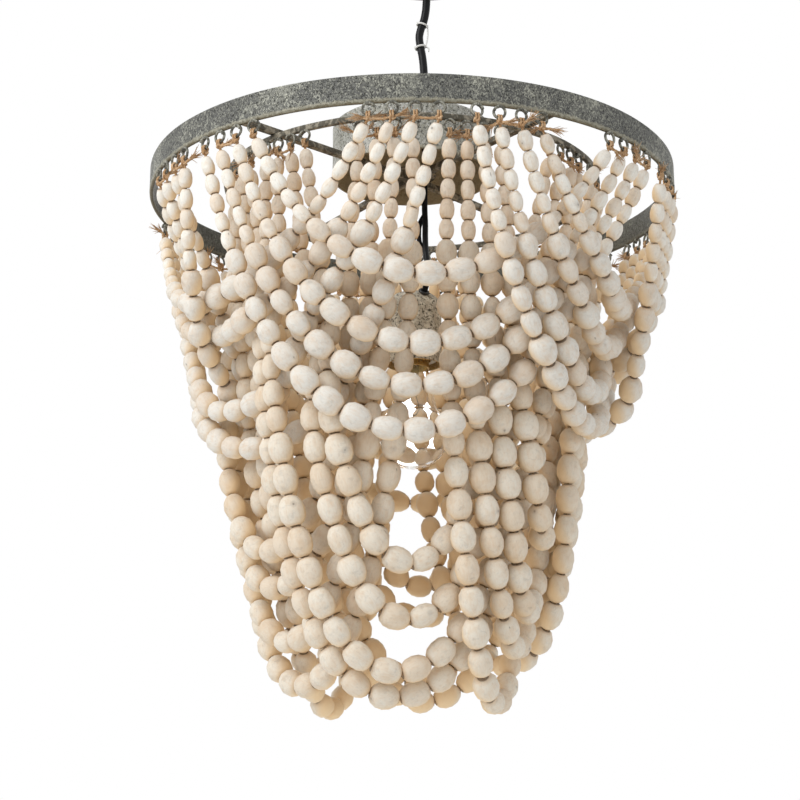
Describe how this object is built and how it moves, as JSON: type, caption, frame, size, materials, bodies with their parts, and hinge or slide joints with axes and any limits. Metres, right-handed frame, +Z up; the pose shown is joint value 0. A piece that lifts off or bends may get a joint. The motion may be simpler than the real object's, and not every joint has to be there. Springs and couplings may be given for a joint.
{
  "type": "beaded chandelier",
  "caption": "Ceiling chandelier: an iron hoop and inner ring on crossed bars under a drum, with looped swags of pale wooden beads round a lampholder with a clear bulb, hung on a black cord.",
  "frame": {"origin": "middle of the mounting bracket's upper face, on the ceiling", "axes": "+Z up to the ceiling, +X to the right and +Y away from the viewer as pictured"},
  "size_m": [0.4592, 0.4613, 0.6985],
  "materials": {
    "aged_iron": "aged matte with brown tinge",
    "galvanised_iron": "mottled galvanised matte",
    "steel": "zinc plated",
    "brass": "satin",
    "black_cord": "glossy",
    "black_plastic": "satin",
    "white_plastic": "satin",
    "green_plastic": "satin",
    "whitewashed_wood": "whitewashed matte with grain",
    "jute_twine": "natural fibre",
    "speckled_cup": "cream grey with dark speckle",
    "porcelain": "glazed",
    "clear_glass": "clear",
    "tungsten": "dull"
  },
  "bodies": {
    "ceiling": {"ceiling_canopy": "aged_iron", "mounting_bracket": "steel", "canopy_screw_1": "steel", "canopy_screw_2": "steel", "canopy_cord_grip": "black_plastic", "canopy_grip_nut": "steel", "live_lead": "black_cord", "neutral_lead": "white_plastic", "earth_lead": "green_plastic", "wire_nut_1": "black_plastic", "wire_nut_2": "black_plastic", "wire_nut_3": "black_plastic"},
    "fixture": {"supply_cord": "black_cord", "cord_tie": "white_plastic", "drum_hub": "galvanised_iron", "drum_cord_grip": "black_plastic", "drum_grip_nut": "steel", "earth_screw": "brass", "hub_plate": "aged_iron", "cord_bush": "black_plastic", "drum_cord": "black_cord", "cross_bar_1": "aged_iron", "cross_bar_2": "aged_iron", "outer_hoop": "galvanised_iron", "inner_ring": "aged_iron", "outer_swag_1": "whitewashed_wood", "outer_swag_2": "whitewashed_wood", "outer_swag_3": "whitewashed_wood", "outer_swag_4": "whitewashed_wood", "outer_swag_5": "whitewashed_wood", "outer_swag_6": "whitewashed_wood", "inner_swag_1": "whitewashed_wood", "inner_swag_2": "whitewashed_wood", "inner_swag_3": "whitewashed_wood", "inner_swag_4": "whitewashed_wood", "inner_swag_5": "whitewashed_wood", "inner_swag_6": "whitewashed_wood"},
    "lampholder": {"inner_cord": "black_cord", "holder_cord_grip": "black_plastic", "lampholder_cup": "speckled_cup", "socket_body": "porcelain", "screw_shell": "brass", "centre_contact": "brass"},
    "bulb": {"bulb_glass": "clear_glass", "bulb_cap": "brass", "bulb_tip": "brass", "bulb_stem": "clear_glass", "filament": "tungsten"}
  },
  "joints": [
    {"name": "fixture_swing", "type": "hinge", "parent": "ceiling", "child": "fixture", "pos_m": [0, 0, -0.0287], "axis": [1, 0, 0], "range_deg": [-8, 8]},
    {"name": "lampholder_swing", "type": "hinge", "parent": "fixture", "child": "lampholder", "pos_m": [-0.0024, 0, -0.2315], "axis": [1, 0, 0], "range_deg": [-6, 6]},
    {"name": "bulb_unscrew", "type": "slide", "parent": "lampholder", "child": "bulb", "axis": [0, 0, -1], "range_m": [0, 0.03]}
  ]
}
